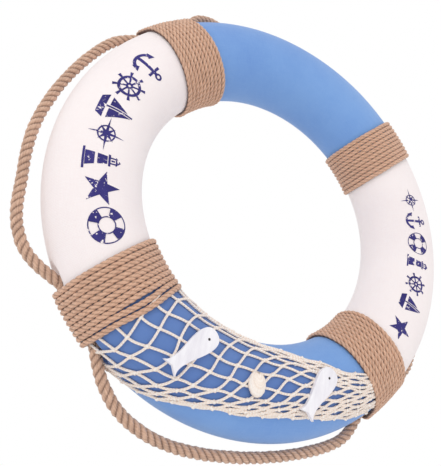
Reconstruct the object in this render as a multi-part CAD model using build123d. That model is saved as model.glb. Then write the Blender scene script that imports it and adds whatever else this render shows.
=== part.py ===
"""Ring lifebuoy: a canvas-covered foam ring with a roped-on grab line and a small decorative net.

Millimetres, +Z up. The ring stands upright as it hangs on a wall: its axis is Y and its face looks
along -Y. The origin is the bearing point at the top of the hole, where a wall hook carries the ring.
An angle around the ring is counted from +X towards +Z. An angle around the tube's section is counted
from the outer equator towards the back (+Y).
"""

import os
from math import atan2, cos, degrees, hypot, pi, radians, sin, sqrt, tan

from build123d import *

# ---- driving dimensions ------------------------------------------------------------------------

OUTER_DIAMETER = 347.0  # of the canvas-covered ring
TUBE_HALF_WIDTH = 33.5  # of the oval tube, along the ring's radius
TUBE_HALF_DEPTH = 28.2  # of the oval tube, along the ring's axis
CANVAS = 0.6  # thickness of the cover cloth
SKIN_GAP = 0.05  # between foam and cloth
SEAM_GAP = 0.2  # between two covers, under a wrap

WRAP_ANGLES = {"upper_left": 135.0, "lower_left": 225.0, "lower_right": 315.0, "upper_right": 45.0}
TWINE = 3.8  # diameter of the jute twine that the wraps are wound from
WRAP_TURNS = 10
WRAP_PITCH = 3.86  # from one turn to the next
WRAP_TANGENTS = 8  # straight runs per turn around the tube, on top of those around the rope
LAY_GAP = 0.1  # between pieces that lie on each other

ROPE = 8.0  # diameter of the grab line
EXIT_OFFSET = 21.5  # from a wrap's middle plane to where the rope turns out of it
ROPE_PROUD = 2.5  # how far the bound rope stands out of the canvas, pressed into the foam by the twine
BED_GAP = 0.35  # between the rope and the channel that it lies in
DENT_PLACE = (6.0, 3.0)  # middle of an exit's dent, on from the exit and outwards from it
DENT_SIZE = (16.0, 10.0, 10.5)  # half sizes of a dent: along the ring, along its axis, and outwards
ROPE_END_GAP = 0.5  # between a bound stretch and the free loop that goes on from it

ROUTE_SHARE = 0.45  # of the shorter run at a corner, taken up by the corner's arc
CREST_SHARE = 0.68  # of the way from the rope's outer side to where the twine leaves the rope

NET_THICKNESS = 1.2
GLUE_RADIUS = 3.0
GLUE_ROOT = 4.0  # how far a dab of glue starts below the front of the tube, before it is trimmed

FISH_THICKNESS = 3.0
FISH_LENGTH = 38.5
FISH_WIDTH = 14.5  # at the belly
FISH_BELLY = 6.5  # from the fish's middle towards its head
FISH_NECK = (-11.0, 8.2)  # place along the fish, and width
FISH_TAIL_WIDTH = 12.8
FISH_FORK = 2.2  # depth of the notch in the tail
EYE_PLACE = (12.3, -0.5)
EYE_RADIUS = 0.9

SHELL_SIZE = (13.0, 17.0)
SHELL_HEIGHT = 6.0
SHELL_WALL = 1.0

# ---- derived places ----------------------------------------------------------------------------

RING_RADIUS = OUTER_DIAMETER / 2 - TUBE_HALF_WIDTH  # of the tube's centre line
CENTRE_Z = TUBE_HALF_WIDTH - RING_RADIUS  # the origin is at the top of the hole
ROPE_OFFSET = TUBE_HALF_WIDTH + ROPE_PROUD - ROPE / 2  # from the tube's centre to the bound rope's
ROPE_RADIUS = RING_RADIUS + ROPE_OFFSET  # of the circle that the bound rope follows
EXIT_ANGLE = degrees(atan2(EXIT_OFFSET, sqrt(ROPE_RADIUS**2 - EXIT_OFFSET**2)))
WRAP_HALF_WIDTH = (WRAP_TURNS * WRAP_PITCH + TWINE) / 2
RING = Pos(0, 0, CENTRE_Z)

# The free loops of the grab line, as (x, y, z) from the ring's centre. Each starts and ends where the
# rope comes out of a wrap. The left and bottom loops hang in the ring's own plane, with their slack where
# gravity takes it; the top and right loops have slumped behind the ring.
EXIT_NEAR, EXIT_FAR = (
    round(ROPE_RADIUS * sin(radians(45 - EXIT_ANGLE)), 1),
    round(ROPE_RADIUS * cos(radians(45 - EXIT_ANGLE)), 1),
)
LOOP_ROUTES = {
    "left": [
        (-EXIT_FAR, 0, EXIT_NEAR),
        (-150.0, 0, 98.0),
        (-160.4, 0, 84.8),
        (-169.6, 0, 65.6),
        (-177.6, 0, 43.2),
        (-183.2, 0, 19.6),
        (-185.9, 0, -4.4),
        (-184.2, 0, -26.4),
        (-180.2, 0, -46.4),
        (-177.6, 0, -64.2),
        (-172.2, 0, -79.6),
        (-163.4, 0, -91.8),
        (-151.4, 0, -99.8),
        (-EXIT_FAR, 0, -EXIT_NEAR),
    ],
    "bottom": [
        (-EXIT_NEAR, 0, -EXIT_FAR),
        (-97.0, 0, -149.8),
        (-88.6, 0, -162.4),
        (-77.6, 0, -173.2),
        (-62.8, 0, -180.8),
        (-44.0, 0, -185.2),
        (-21.0, 0, -186.3),
        (5.0, 0, -184.2),
        (31.0, 0, -179.8),
        (55.0, 0, -173.4),
        (75.2, 0, -166.2),
        (89.6, 0, -158.8),
        (98.6, 0, -149.8),
        (EXIT_NEAR, 0, -EXIT_FAR),
    ],
    "right": [
        (EXIT_FAR, 0, EXIT_NEAR),
        (149.8, 1.6, 97.6),
        (160.2, 4.8, 85.0),
        (169.2, 8.6, 65.6),
        (176.6, 12.0, 41.0),
        (180.8, 14.0, 14.0),
        (181.6, 13.8, -13.0),
        (179.0, 12.6, -38.0),
        (172.8, 9.8, -60.6),
        (163.8, 5.4, -81.0),
        (151.8, 1.8, -96.0),
        (EXIT_FAR, 0, -EXIT_NEAR),
    ],
    "top": [
        (-EXIT_NEAR, 0, EXIT_FAR),
        (-98.2, 1.6, 150.0),
        (-88.2, 5.2, 160.6),
        (-72.0, 11.0, 169.4),
        (-48.0, 17.4, 175.6),
        (-20.0, 22.0, 178.6),
        (9.0, 23.4, 178.4),
        (37.0, 21.4, 175.2),
        (60.4, 16.2, 170.2),
        (79.6, 9.4, 163.6),
        (94.6, 3.0, 152.4),
        (EXIT_NEAR, 0, EXIT_FAR),
    ],
}

# The net's two long edges as the face shows them, as (x, z) from the ring's centre.
NET_INNER_EDGE = [(-100, -60), (-66, -88), (-38, -103), (4, -110), (52, -115), (110, -117)]
NET_OUTER_EDGE = [(-116, -120), (-98, -138), (-70, -155), (-46, -159), (0, -157), (40, -151), (112, -130)]

# The ornaments glued to the net: middle (x, z) from the ring's centre, and turn about Y in degrees.
FISH_PLACES = {"left": ((-51.3, -129.5), 47.0), "right": ((45.1, -134.1), 61.5)}
SHELL_PLACE = ((-3.4, -139.8), 8.0)

os.makedirs("parts", exist_ok=True)


def save(shape, node):
    """Write one node, moved from the ring's centre to where the ring hangs."""
    export_step(RING * shape, f"parts/{node}.step")


def ring_of(section, start=0.0, sweep_angle=360.0):
    """Revolve a section in the XY plane about the ring's axis, from one ring angle onwards."""
    solid = revolve(section, axis=Axis.Y, revolution_arc=sweep_angle)
    return Rot(0, -(start + sweep_angle), 0) * solid


def tube_section(growth):
    """The tube's oval, grown outwards by a distance."""
    return Pos(RING_RADIUS, 0) * Ellipse(TUBE_HALF_WIDTH + growth, TUBE_HALF_DEPTH + growth)


def arc_radii(points):
    """The arc at each corner of a route: a share of the shorter run, over the tangent of half the turn."""
    radii = []
    for before, at, after in zip(points, points[1:], points[2:]):
        run_in, run_out = at - before, after - at
        half_turn = radians(run_in.get_angle(run_out)) / 2
        radii.append(ROUTE_SHARE * min(run_in.length, run_out.length) / tan(half_turn))
    return radii


def tube_along(points, diameter):
    """(a round tube along straight runs joined by tangent arcs, its path, its arc radii)."""
    points = [Vector(*p) for p in points]
    radii = arc_radii(points)
    path = FilletPolyline(*points, radius=radii)
    section = Plane(origin=path @ 0, z_dir=path % 0) * Circle(diameter / 2)
    return sweep(section, path=path), path, radii


def wrap_frame(angle):
    """The plane whose X runs out along the ring's radius and whose Z runs along the ring at an angle."""
    x_dir = (cos(radians(angle)), 0, sin(radians(angle)))
    z_dir = (-sin(radians(angle)), 0, cos(radians(angle)))
    return Plane(origin=(0, 0, 0), x_dir=x_dir, z_dir=z_dir)


def wrap_support(turn):
    """How far a taut turn of twine stands from the tube's centre, in one direction of its section."""
    oval = hypot(TUBE_HALF_WIDTH * cos(turn), TUBE_HALF_DEPTH * sin(turn))
    rope = ROPE_OFFSET * cos(turn) + ROPE / 2
    return max(oval, rope) + LAY_GAP + TWINE / 2


def common_tangent():
    """The direction in which the tube's oval and the rope reach equally far, found by halving."""
    low, high = 0, pi / 2
    while high - low > 1e-9:
        middle = (low + high) / 2
        oval = hypot(TUBE_HALF_WIDTH * cos(middle), TUBE_HALF_DEPTH * sin(middle))
        if ROPE_OFFSET * cos(middle) + ROPE / 2 > oval:
            low = middle
        else:
            high = middle
    return low


def wrap_corners():
    """One turn's corners in the tube's section: where the lines that touch tube and rope meet."""
    leave = common_tangent()
    crest = leave * CREST_SHARE
    step = (2 * pi - 2 * leave) / WRAP_TANGENTS
    around_tube = [leave + step * k for k in range(WRAP_TANGENTS + 1)]
    turns = [0, crest, *around_tube, 2 * pi - crest]
    corners = []
    for here, there in zip(turns, turns[1:] + [2 * pi]):
        reach, reach_next = wrap_support(here), wrap_support(there)
        between = sin(there - here)
        across = (reach * sin(there) - reach_next * sin(here)) / between
        deep = (reach_next * cos(here) - reach * cos(there)) / between
        corners.append((across, deep, (here + there) / (4 * pi)))
    return corners


def wrap_route():
    """The twine's corners in a wrap's own frame: one winding that starts and ends at the ring's back."""
    corners = wrap_corners()
    first = len(corners) // 4
    route = []
    for k in range(first, first + WRAP_TURNS * len(corners) + 1):
        across, deep, share = corners[k % len(corners)]
        along = (k // len(corners) + share - corners[first][2] - WRAP_TURNS / 2) * WRAP_PITCH
        out = sqrt((RING_RADIUS + across) ** 2 - along**2)
        route.append((out, deep, along))
    return route


def wrap(angle):
    """(the twine wound around tube and rope at one ring angle, its path, its arc radii)."""
    frame = wrap_frame(angle)
    corners = [frame.from_local_coords(Vector(out, -deep, along)) for out, deep, along in wrap_route()]
    return tube_along(corners, TWINE)


def bound_rope(angle):
    """The stretch of the grab line that a wrap holds against the outer equator."""
    spare = degrees((ROPE / 2 + ROPE_END_GAP) / ROPE_RADIUS)
    half = EXIT_ANGLE - spare
    section = Pos(ROPE_RADIUS, 0) * Circle(ROPE / 2)
    return ring_of(section, angle - half, 2 * half)


def rounded_end(at, outwards):
    """Half a ball on the end of a free loop, so that it can swing in its socket between wrap and rope."""
    ball = Sphere(ROPE / 2, arc_size1=0, arc_size2=90, align=(Align.CENTER, Align.CENTER, Align.MIN))
    return Plane(origin=at, z_dir=outwards) * ball


def rope_bed(angle, growth):
    """What the rope presses out of the tube: a channel under a wrap, and a dent where it leaves."""
    section = Pos(ROPE_RADIUS, 0) * Circle(ROPE / 2 + BED_GAP + growth)
    bed = ring_of(section, angle - EXIT_ANGLE, 2 * EXIT_ANGLE)
    on, out = DENT_PLACE
    for side in (-1, 1):
        frame = wrap_frame(angle + side * (EXIT_ANGLE + degrees(on / ROPE_RADIUS)))
        along, deep, high = (size + growth for size in DENT_SIZE)
        dent = scale(Sphere(1.0), by=(high, deep, along))
        bed += frame.location * Pos(ROPE_RADIUS + out, 0, 0) * dent
    return bed


def pressed_tube(growth, angles, start, sweep_angle):
    """A stretch of the tube, grown by a distance, with the rope's beds pressed into it at some wraps."""
    tube = ring_of(tube_section(growth), start, sweep_angle)
    for angle in angles:
        tube -= rope_bed(angle, -growth)
    return tube


def free_loop(route):
    """(one loop of the grab line with both its rounded ends, its path, its arc radii)."""
    tube, path, radii = tube_along(route, ROPE)
    start = rounded_end(path @ 0, -(path % 0))
    end = rounded_end(path @ 1, path % 1)
    return tube + start + end, path, radii


def net_patch(glue_dots):
    """A thin skin over the ring's face between two wraps, pierced where the ornaments are glued."""
    start = WRAP_ANGLES["lower_left"]
    section = tube_section(LAY_GAP + NET_THICKNESS) - tube_section(LAY_GAP)
    skin = ring_of(section, start, WRAP_ANGLES["lower_right"] - start)
    inner = Spline(*NET_INNER_EDGE)
    outer = Spline(*NET_OUTER_EDGE)
    outline = inner + Line(inner @ 1, outer @ 1) + outer + Line(outer @ 0, inner @ 0)
    face_on = Plane(origin=(0, 0, 0), x_dir=(1, 0, 0), z_dir=(0, -1, 0))
    patch = skin & extrude(face_on * make_face(outline), TUBE_HALF_DEPTH * 2)
    under_wrap = Box(4 * ROPE_RADIUS, 4 * TUBE_HALF_DEPTH, 2 * (WRAP_HALF_WIDTH + LAY_GAP))
    for side in ("lower_left", "lower_right"):
        patch -= wrap_frame(WRAP_ANGLES[side]).location * under_wrap
    for dot in glue_dots:
        patch -= dot
    return patch


def at_face(place, turn, depth):
    """The frame of a flat ornament at a point of the ring's face, its Z out of the face."""
    x, z = place
    face_on = Plane(origin=(x, -depth, z), x_dir=(1, 0, 0), z_dir=(0, -1, 0))
    return face_on.location * Rot(0, 0, turn)


def fish(place, turn):
    """A flat wooden fish with a forked tail and a drilled eye."""
    nose = (FISH_LENGTH / 2, 0)
    belly = (FISH_BELLY, FISH_WIDTH / 2)
    neck = (FISH_NECK[0], FISH_NECK[1] / 2)
    tail_tip = (-FISH_LENGTH / 2, FISH_TAIL_WIDTH / 2)
    along_neck = (-1, -0.1)
    head = Spline(nose, belly, neck, tangents=[(0, 1), along_neck])
    tail = Spline(neck, tail_tip, tangents=[along_neck, (-0.6, 0.8)])
    upper = head + tail + Line(tail_tip, (FISH_FORK - FISH_LENGTH / 2, 0))
    outline = upper + mirror(upper, about=Plane.XZ)
    plate = extrude(make_face(outline), FISH_THICKNESS)
    eye = Pos(*EYE_PLACE) * Cylinder(EYE_RADIUS, 4 * FISH_THICKNESS)
    frame = at_face(place, turn, TUBE_HALF_DEPTH + LAY_GAP + NET_THICKNESS + LAY_GAP)
    return frame * (plate - eye)


def glue_dot(place):
    """A dab of glue from the canvas, through the net, to an ornament's flat back."""
    x, z = place
    back = TUBE_HALF_DEPTH + 2 * LAY_GAP + NET_THICKNESS
    root = TUBE_HALF_DEPTH - GLUE_ROOT
    dab = Plane(origin=(x, -root, z), z_dir=(0, -1, 0)) * extrude(Circle(GLUE_RADIUS), back - root)
    return dab - ring_of(tube_section(0))


def cockle(place, turn):
    """A cockle shell as a hollow dome on a flat rim."""
    width, height = SHELL_SIZE
    frame = at_face(place, turn, TUBE_HALF_DEPTH + 2 * LAY_GAP + NET_THICKNESS)
    ball = Sphere(1.0)
    outside = scale(ball, by=(width / 2, height / 2, SHELL_HEIGHT))
    inside = scale(ball, by=(width / 2 - SHELL_WALL, height / 2 - SHELL_WALL, SHELL_HEIGHT - SHELL_WALL))
    front = Pos(0, 0, SHELL_HEIGHT) * Box(2 * width, 2 * height, 2 * SHELL_HEIGHT)
    return frame * ((outside & front) - inside)


def report(name, path, diameter, radii, volume):
    """Print a cord's length, its arc radii, and how well its solid matches its path."""
    expected = pi * diameter**2 / 4 * path.length
    print(
        f"{name}: length {path.length:.1f}, arc radii {min(radii):.1f} to {max(radii):.1f}, "
        f"volume over section x length {volume / expected:.4f}"
    )


# ---- the ring and its covers -------------------------------------------------------------------

quarters = [pressed_tube(-CANVAS - SKIN_GAP, [angle], angle - 45, 90) for angle in WRAP_ANGLES.values()]
save(quarters[0] + quarters[1:], "foam_core")

COVERS = {
    "cover_white_left": ("upper_left", "lower_left"),
    "cover_blue_bottom": ("lower_left", "lower_right"),
    "cover_white_right": ("lower_right", "upper_right"),
    "cover_blue_top": ("upper_right", "upper_left"),
}
seam = degrees(SEAM_GAP / RING_RADIUS)
for node, wraps in COVERS.items():
    angles = [WRAP_ANGLES[name] for name in wraps]
    stretch = (angles[0] + seam / 2, 90 - seam)
    save(pressed_tube(0, angles, *stretch) - pressed_tube(-CANVAS, angles, *stretch), node)

# ---- the wraps and the grab line ---------------------------------------------------------------

for name, angle in WRAP_ANGLES.items():
    twine, path, radii = wrap(angle)
    save(twine, f"wrap_{name}")
    report(f"wrap_{name}", path, TWINE, radii, twine.volume)
    save(bound_rope(angle), f"bound_rope_{name}")

for name, route in LOOP_ROUTES.items():
    loop, path, radii = free_loop(route)
    save(loop, f"grab_loop_{name}")
    both_ends = pi * ROPE**3 / 6
    report(f"grab_loop_{name}", path, ROPE, radii, loop.volume - both_ends)

# ---- the net and its ornaments -----------------------------------------------------------------

glue = {f"glue_fish_{side}": glue_dot(place) for side, (place, _) in FISH_PLACES.items()}
glue["glue_shell"] = glue_dot(SHELL_PLACE[0])
for node, dot in glue.items():
    save(dot, node)
save(net_patch(glue.values()), "net")
for side, (place, turn) in FISH_PLACES.items():
    save(fish(place, turn), f"fish_{side}")
save(cockle(*SHELL_PLACE), "shell")
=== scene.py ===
"""Looks of the ring lifebuoy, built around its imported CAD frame.

Metres, in the row frame: +Z up, the ring's axis is Y, its face looks along -Y, and the origin is where a
wall hook carries the ring. A place on the ring's tube is given by two angles in degrees: the ring angle, from
+X towards +Z, and the tube angle, which is 0 at the outer equator, 90 on the face and 180 in the hole.
"""

import math
import random

import bmesh
import bpy
import numpy as np
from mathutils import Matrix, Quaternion, Vector
from mathutils.noise import noise


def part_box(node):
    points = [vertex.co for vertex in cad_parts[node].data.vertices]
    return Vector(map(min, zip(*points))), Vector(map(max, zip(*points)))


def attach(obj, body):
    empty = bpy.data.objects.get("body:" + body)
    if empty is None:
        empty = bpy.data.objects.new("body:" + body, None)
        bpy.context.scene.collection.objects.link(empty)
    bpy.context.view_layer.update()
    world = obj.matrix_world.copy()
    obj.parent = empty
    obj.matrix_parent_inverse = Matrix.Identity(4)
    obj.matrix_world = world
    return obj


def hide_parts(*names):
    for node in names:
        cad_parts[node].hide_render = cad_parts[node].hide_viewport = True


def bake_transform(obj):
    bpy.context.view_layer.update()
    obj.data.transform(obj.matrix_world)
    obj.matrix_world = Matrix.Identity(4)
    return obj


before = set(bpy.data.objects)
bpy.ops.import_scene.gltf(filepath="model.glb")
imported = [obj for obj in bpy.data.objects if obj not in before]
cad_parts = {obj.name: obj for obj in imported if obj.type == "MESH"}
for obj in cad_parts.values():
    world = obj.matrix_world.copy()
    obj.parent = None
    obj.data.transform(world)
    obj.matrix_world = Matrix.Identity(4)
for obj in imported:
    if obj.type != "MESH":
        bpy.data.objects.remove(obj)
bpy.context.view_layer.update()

MM = 0.001

# ---- sizes read from the frame -----------------------------------------------------------------

white_low, white_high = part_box("cover_white_left")
OUTER_RADIUS = -white_low.x
HALF_DEPTH = white_high.y
CENTRE_Z = (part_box("cover_blue_top")[1].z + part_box("cover_blue_bottom")[0].z) / 2
HALF_WIDTH = (OUTER_RADIUS + CENTRE_Z) / 2
RING_RADIUS = OUTER_RADIUS - HALF_WIDTH
CENTRE = Vector((0, 0, CENTRE_Z))

# ---- sizes that the frame doesn't give ---------------------------------------------------------

WRAPS = {"upper_left": 135, "lower_left": 225, "lower_right": 315, "upper_right": 45}
TWINE = 3.8 * MM
WRAP_TURNS = 10
WRAP_PITCH = 3.86 * MM
WRAP_HALF_WIDTH = (WRAP_TURNS * WRAP_PITCH + TWINE) / 2
LAY_GAP = 0.1 * MM

ROPE = 8.0 * MM
ROPE_PROUD = 2.5 * MM  # how far the bound rope stands out of the canvas
ROPE_OFFSET = HALF_WIDTH + ROPE_PROUD - ROPE / 2  # from the tube's centre line to the bound rope's
ROPE_RADIUS = RING_RADIUS + ROPE_OFFSET
EXIT_OFFSET = 21.5 * MM  # from a wrap's middle to where the rope turns out of it
EXIT_ANGLE = math.degrees(math.asin(EXIT_OFFSET / ROPE_RADIUS))
EXIT_NEAR, EXIT_FAR = 0.1055, 0.1359
BED_GAP = 0.35 * MM  # between the rope and the channel that it lies in
BED_SOFTNESS = 0.8 * MM  # how gently the cloth turns down into a bed
DENT_ON, DENT_OUT = 3.0 * MM, 3.0 * MM  # middle of an exit's dent, on from the exit and outwards from it
DENT_ALONG, DENT_DEEP, DENT_HIGH = 12.0 * MM, 7.5 * MM, 8.0 * MM  # its half sizes

# The grab line's free loops, from the ring's centre. They are the CAD tubes' points, but three places are
# moved by up to 4 mm to follow the photo: the top and the bottom loop beside their left wraps, and the right
# loop near its lower end.
LOOP_ROUTES = {
    "left": [
        (-EXIT_FAR, 0, EXIT_NEAR),
        (-0.1500, 0, 0.0980),
        (-0.1604, 0, 0.0848),
        (-0.1696, 0, 0.0656),
        (-0.1776, 0, 0.0432),
        (-0.1832, 0, 0.0196),
        (-0.1859, 0, -0.0044),
        (-0.1842, 0, -0.0264),
        (-0.1802, 0, -0.0464),
        (-0.1776, 0, -0.0642),
        (-0.1722, 0, -0.0796),
        (-0.1634, 0, -0.0918),
        (-0.1514, 0, -0.0998),
        (-EXIT_FAR, 0, -EXIT_NEAR),
    ],
    "bottom": [
        (-EXIT_NEAR, 0, -EXIT_FAR),
        (-0.0994, 0, -0.1496),
        (-0.0912, 0, -0.1616),
        (-0.0790, 0, -0.1729),
        (-0.0628, 0, -0.1808),
        (-0.0440, 0, -0.1852),
        (-0.0210, 0, -0.1863),
        (0.0050, 0, -0.1842),
        (0.0310, 0, -0.1798),
        (0.0550, 0, -0.1734),
        (0.0752, 0, -0.1662),
        (0.0896, 0, -0.1588),
        (0.0986, 0, -0.1498),
        (EXIT_NEAR, 0, -EXIT_FAR),
    ],
    "right": [
        (EXIT_FAR, 0, EXIT_NEAR),
        (0.1498, 0.0016, 0.0976),
        (0.1602, 0.0048, 0.0850),
        (0.1692, 0.0086, 0.0656),
        (0.1766, 0.0120, 0.0410),
        (0.1808, 0.0140, 0.0140),
        (0.1816, 0.0138, -0.0130),
        (0.1790, 0.0126, -0.0380),
        (0.1710, 0.0106, -0.0600),
        (0.1630, 0.0062, -0.0806),
        (0.1518, 0.0018, -0.0960),
        (EXIT_FAR, 0, -EXIT_NEAR),
    ],
    "top": [
        (-EXIT_NEAR, 0, EXIT_FAR),
        (-0.1000, 0.0006, 0.1530),
        (-0.0890, 0.0034, 0.1636),
        (-0.0720, 0.0100, 0.1716),
        (-0.0480, 0.0174, 0.1756),
        (-0.0200, 0.0220, 0.1786),
        (0.0090, 0.0234, 0.1784),
        (0.0370, 0.0214, 0.1752),
        (0.0604, 0.0162, 0.1702),
        (0.0796, 0.0094, 0.1636),
        (0.0946, 0.0030, 0.1524),
        (EXIT_NEAR, 0, EXIT_FAR),
    ],
}

# ---- mesh tools --------------------------------------------------------------------------------


def new_piece(name, verts, faces, material):
    """A smooth mesh object from arrays of points and of faces."""
    mesh = bpy.data.meshes.new(name)
    mesh.from_pydata(np.asarray(verts).tolist(), [], [list(f) for f in faces])
    mesh.materials.append(material)
    mesh.polygons.foreach_set("use_smooth", [True] * len(mesh.polygons))
    mesh.update()
    piece = bpy.data.objects.new(name, mesh)
    bpy.context.scene.collection.objects.link(piece)
    return piece


def unit(vectors):
    return vectors / np.linalg.norm(vectors, axis=-1, keepdims=True)


def lengths_along(line):
    """How far along a line of points each point is."""
    steps = np.linalg.norm(np.diff(line, axis=0), axis=1)
    return np.concatenate([[0], np.cumsum(steps)])


def spaced(line, step):
    """The same line with points an even step apart."""
    s = lengths_along(line)
    even = np.linspace(0, s[-1], max(2, round(s[-1] / step) + 1))
    return np.stack([np.interp(even, s, line[:, k]) for k in range(3)], axis=1)


def frames_along(line, reference):
    """Tangent, the reference made square to it, and the third direction, at each point of a line."""
    tangent = unit(np.gradient(line, axis=0))
    reference = np.broadcast_to(reference, line.shape)
    side = unit(reference - (reference * tangent).sum(1, keepdims=True) * tangent)
    return tangent, side, np.cross(tangent, side)


class Sweeps:
    """Collects swept tubes, each vertex with its shade and its place along and around the tube."""

    def __init__(self):
        self.verts, self.faces, self.shade, self.uv = [], [], [], []
        self.count = 0

    def tube(self, line, radius, sides, reference, twist=0.0, lobes=0, lobe_depth=0.0, start=0.0):
        """A tube along a line. Its section has lobes that turn by twist radians per metre."""
        _, side, up = frames_along(line, reference)
        s = lengths_along(line) + start
        around = np.arange(sides) * 2 * np.pi / sides
        angle = around[None, :] + (s * twist)[:, None]
        radius = np.broadcast_to(radius, (len(line),))[:, None]
        reach = radius * (1 + lobe_depth * np.cos(lobes * around)[None, :])
        ring = line[:, None] + reach[..., None] * (
            np.cos(angle)[..., None] * side[:, None] + np.sin(angle)[..., None] * up[:, None]
        )
        base = self.count
        self.verts.append(ring.reshape(-1, 3))
        rows = np.arange(len(line) - 1)[:, None] * sides + base
        here, there = np.arange(sides), (np.arange(sides) + 1) % sides
        quads = np.stack([rows + here, rows + there, rows + sides + there, rows + sides + here], axis=-1)
        self.faces.extend(quads.reshape(-1, 4).tolist())
        self.faces.append([base + k for k in range(sides)][::-1])
        self.faces.append([base + (len(line) - 1) * sides + k for k in range(sides)])
        uv = np.broadcast_arrays(s[:, None] / MM, around[None, :] / (2 * np.pi))
        self.uv.append(np.stack(uv, -1).reshape(-1, 2))
        self.count += len(line) * sides
        return ring

    def shades(self, values):
        """The shade of the vertices of the last tube: 0 deep in a groove, 1 on the outside."""
        self.shade.append(np.clip(values, 0, 1).reshape(-1))

    def piece(self, name, material):
        """All the tubes as one object."""
        piece = new_piece(name, np.concatenate(self.verts), self.faces, material)
        mesh = piece.data
        shade = mesh.attributes.new("shade", "FLOAT", "POINT")
        shade.data.foreach_set("value", np.concatenate(self.shade).astype(np.float32))
        corner = np.zeros(len(mesh.loops), np.int32)
        mesh.loops.foreach_get("vertex_index", corner)
        layer = mesh.uv_layers.new(name="along")
        layer.data.foreach_set("uv", np.concatenate(self.uv)[corner].astype(np.float32).reshape(-1))
        return piece


def smooth_line(points):
    """Points read along the smooth curve that has a route's points as its control points."""
    curve = bpy.data.curves.new("route", "CURVE")
    curve.dimensions = "3D"
    curve.resolution_u = 24
    spline = curve.splines.new("NURBS")
    spline.points.add(len(points) - 1)
    for control, place in zip(spline.points, points):
        control.co = (*place, 1)
    spline.order_u = 3
    spline.use_endpoint_u = True
    route = bpy.data.objects.new("route", curve)
    mesh = bpy.data.meshes.new_from_object(route)
    line = np.array([v.co for v in mesh.vertices])
    bpy.data.objects.remove(route)
    bpy.data.curves.remove(curve)
    bpy.data.meshes.remove(mesh)
    return line


def through(points, x):
    """A smooth curve through (x, y) points, read at x: cubic spans, sloping as the points either side do."""
    xs = np.array([p[0] for p in points], float)
    ys = np.array([p[1] for p in points], float)
    slope = np.gradient(ys, xs)
    x = np.clip(x, xs[0], xs[-1])
    k = np.clip(np.searchsorted(xs, x, side="right") - 1, 0, len(xs) - 2)
    width = xs[k + 1] - xs[k]
    t = (x - xs[k]) / width
    return (
        (2 * t**3 - 3 * t**2 + 1) * ys[k]
        + (t**3 - 2 * t**2 + t) * width * slope[k]
        + (3 * t**2 - 2 * t**3) * ys[k + 1]
        + (t**3 - t**2) * width * slope[k + 1]
    )


CLOTH_LIFT = 0.30 * MM
CLOTH_SLACK = 0.12 * MM
CLOTH_RIPPLE = 0.08 * MM
CLOTH_PUCKER = 0.06 * MM


def canvas_lift(ring_angle, tube_angle):
    """How far the cloth stands off the CAD tube: slack between the wraps, drawn in beside them."""
    nearest = np.abs((ring_angle % 90) - 45)
    slack = 1 - np.exp(-(((nearest - 8) / 7) ** 2))
    ripple = np.sin(np.radians(3 * ring_angle + 2 * tube_angle))
    ripple = ripple * np.sin(np.radians(5 * ring_angle - tube_angle))
    gathers = 26 * tube_angle + 40 * np.sin(np.radians(tube_angle))
    pucker = np.exp(-(((nearest - 10) / 4) ** 2)) * np.sin(np.radians(gathers))
    return CLOTH_LIFT + CLOTH_SLACK * slack + CLOTH_RIPPLE * ripple + CLOTH_PUCKER * pucker


def bed_floor(ring_angle, deep):
    """Distance from the ring's axis to the bottom of the beds that the rope presses into the tube."""
    floor = np.full(np.broadcast(ring_angle, deep).shape, 1.0)
    dent_on = EXIT_ANGLE + math.degrees(DENT_ON / ROPE_RADIUS)
    half = ROPE / 2 + BED_GAP
    for wrap in WRAPS.values():
        off = (ring_angle - wrap + 180) % 360 - 180
        for middle in (-dent_on, dent_on):
            along = ROPE_RADIUS * np.radians(off - middle)
            share = (along / DENT_ALONG) ** 2 + (deep / DENT_DEEP) ** 2
            dent = ROPE_RADIUS + DENT_OUT - DENT_HIGH * np.sqrt(np.clip(1 - share, 0, 1))
            floor = np.minimum(floor, dent + 0.03 * np.clip(share - 1, 0, None))
        channel = ROPE_RADIUS - np.sqrt(np.clip(half**2 - deep**2, 0, None))
        outside = (np.abs(deep) > half) | (np.abs(off) > EXIT_ANGLE)
        floor = np.minimum(floor, np.where(outside, 1.0, channel))
    return floor


def on_tube(ring_angle, tube_angle, lift=0.0, pressed=False):
    """Points on the canvas, or a lift off it, and the directions square to the tube there.

    Pressed points go down into the beds under the rope.
    """
    ring = np.radians(ring_angle)
    tube = np.radians(tube_angle)
    ring, tube, lift = np.broadcast_arrays(ring, tube, lift)
    lift = lift + canvas_lift(np.degrees(ring), np.degrees(tube))
    nr, ny = np.cos(tube) / HALF_WIDTH, -np.sin(tube) / HALF_DEPTH
    size = np.hypot(nr, ny)
    nr, ny = nr / size, ny / size
    out = RING_RADIUS + HALF_WIDTH * np.cos(tube) + lift * nr
    deep = -HALF_DEPTH * np.sin(tube) + lift * ny
    if pressed:
        floor = bed_floor(np.degrees(ring), deep)
        out = -BED_SOFTNESS * np.logaddexp(-out / BED_SOFTNESS, -floor / BED_SOFTNESS)
    place = np.stack([out * np.cos(ring), deep, out * np.sin(ring) + CENTRE_Z], axis=-1)
    normal = np.stack([nr * np.cos(ring), ny, nr * np.sin(ring)], axis=-1)
    return place, normal


# ---- materials ---------------------------------------------------------------------------------


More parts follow.
